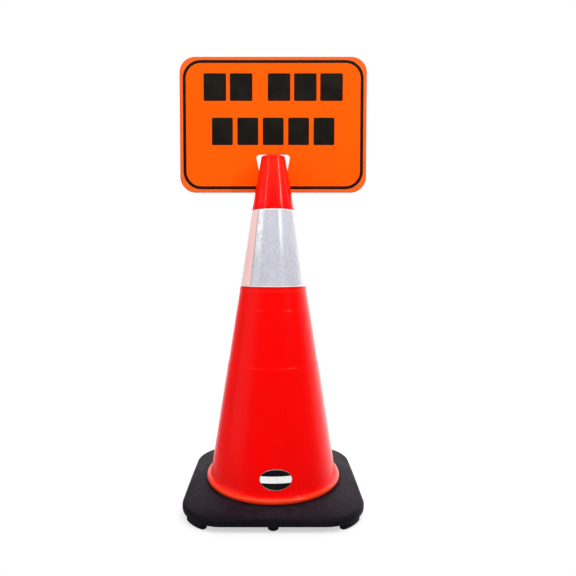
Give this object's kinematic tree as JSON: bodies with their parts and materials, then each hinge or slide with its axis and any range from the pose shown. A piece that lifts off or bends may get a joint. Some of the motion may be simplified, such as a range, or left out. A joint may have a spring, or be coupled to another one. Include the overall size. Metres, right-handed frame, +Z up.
{
  "type": "traffic cone with sign",
  "caption": "Tall traffic cone on a square rubber base, with a reflective collar and a rectangular sign hung from its mouth.",
  "frame": {"origin": "centre of the base's footprint, on the ground", "axes": "+Z up along the cone's axis, the sign faces -Y, +X to the right of someone facing the sign"},
  "size_m": [0.407, 0.356, 0.9365],
  "materials": {
    "base_rubber": "matte black recycled rubber",
    "cone_pvc": "glossy red-orange flexible PVC",
    "collar_white": "white vinyl sleeve",
    "collar_prism": "silver-white prismatic reflective film",
    "collar_lap": "heat-sealed lap seam",
    "label_white": "white vinyl",
    "label_black": "black ink",
    "sign_sheet": "orange polyethylene sheet",
    "sign_film": "satin orange face film",
    "sign_ink": "black screen ink"
  },
  "bodies": {
    "cone": {"rubber_base": "base_rubber", "corner_feet": "base_rubber", "side_feet": "base_rubber", "cone_shell": "cone_pvc", "collar_sleeve": "collar_white", "collar_film": "collar_prism", "collar_seam": "collar_lap", "label_vinyl": "label_white", "label_ink": "label_black"},
    "insert": {"rim_insert": "cone_pvc"},
    "tongue": {"hanging_tongue": "sign_sheet"},
    "sign": {"sign_panel": "sign_sheet", "sign_face_film": "sign_film", "border_line": "sign_ink", "legend_upper": "sign_ink", "legend_lower": "sign_ink"}
  },
  "joints": [
    {"name": "sign_turn", "type": "hinge", "parent": "cone", "child": "insert", "pos_m": [0, 0, 0.706], "axis": [0, 0, 1], "continuous": true},
    {"name": "sign_lift", "type": "slide", "parent": "insert", "child": "tongue", "axis": [0, 0, 1], "range_m": [0, 0.06]},
    {"name": "panel_tilt", "type": "hinge", "parent": "tongue", "child": "sign", "pos_m": [0, 0.0393, 0.7252], "axis": [1, 0, 0], "range_deg": [0, 30], "stiffness_Nm_per_rad": 2}
  ]
}
